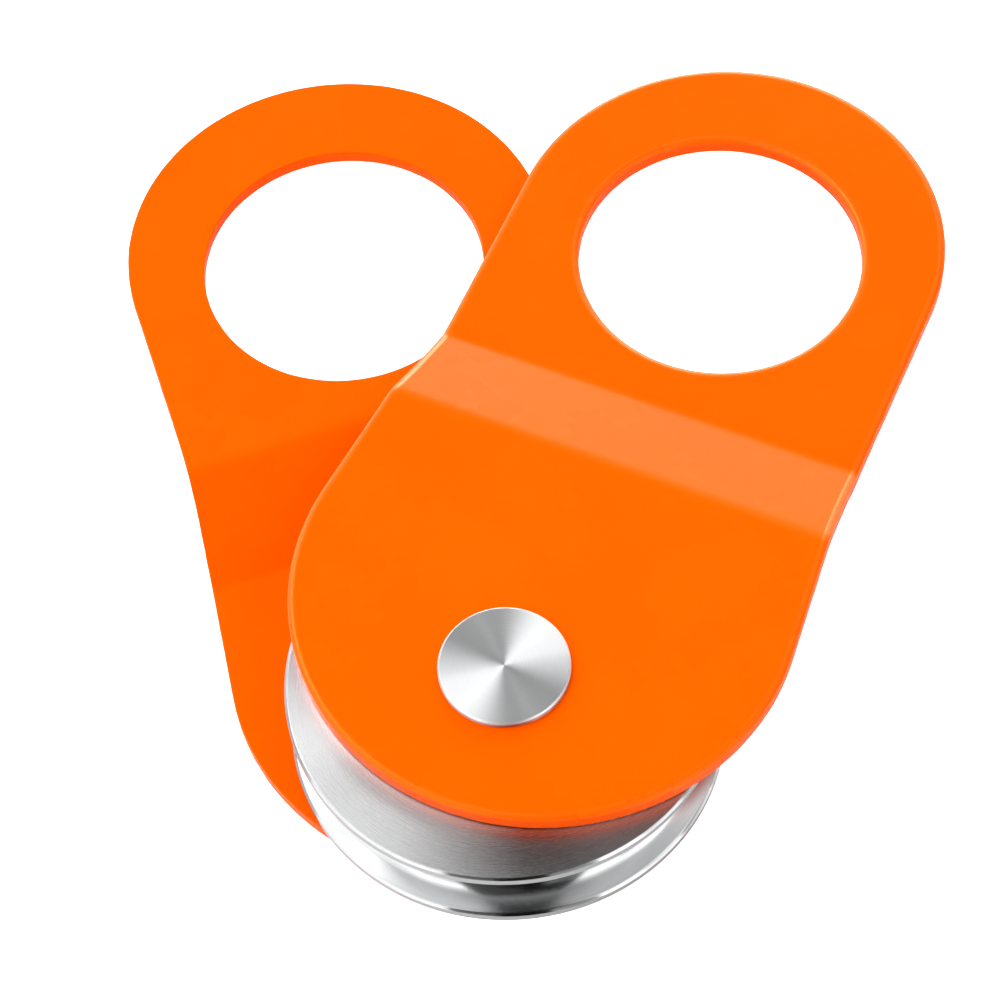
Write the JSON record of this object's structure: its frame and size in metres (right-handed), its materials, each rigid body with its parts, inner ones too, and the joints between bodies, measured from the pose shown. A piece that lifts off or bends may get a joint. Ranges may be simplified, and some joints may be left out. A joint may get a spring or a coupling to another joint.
{
  "type": "rope pulley",
  "caption": "Swing-plate rope pulley: a grooved steel sheave turning on a headed pin between joggled, powder-coated side plates with round shackle eyes.",
  "frame": {"origin": "centre of the sheave, on the pin's axis and halfway between the side plates", "axes": "+Z along the pin towards its flat head, +Y from the pin to the centre of the back side plate's eye; the front side plate is swung 41.7 degrees from it, towards +X"},
  "size_m": [0.1885, 0.2221, 0.0364],
  "materials": {
    "powder_coat": "gloss orange powder coat",
    "turned_steel": "turned, with a polished groove",
    "pin_steel": "face-turned, bright",
    "bronze": "machined bearing bronze",
    "zinc_plate": "bright zinc plate",
    "spring_steel": "phosphated spring steel"
  },
  "bodies": {
    "back_plate_and_pin": {"back_side_plate": "powder_coat", "axle_pin": "pin_steel", "retaining_washer": "zinc_plate", "retaining_ring": "spring_steel", "grease_nipple": "zinc_plate", "nipple_ball": "pin_steel", "front_thrust_washer": "bronze", "back_thrust_washer": "bronze"},
    "front_plate": {"front_side_plate": "powder_coat"},
    "sheave": {"sheave": "turned_steel", "sheave_bush": "bronze"}
  },
  "joints": [
    {"name": "front_plate_swing", "type": "hinge", "parent": "back_plate_and_pin", "child": "front_plate", "pos_m": [0, 0, 0], "axis": [0, 0, 1], "continuous": true},
    {"name": "sheave_spin", "type": "hinge", "parent": "back_plate_and_pin", "child": "sheave", "pos_m": [0, 0, 0], "axis": [0, 0, 1], "continuous": true}
  ]
}
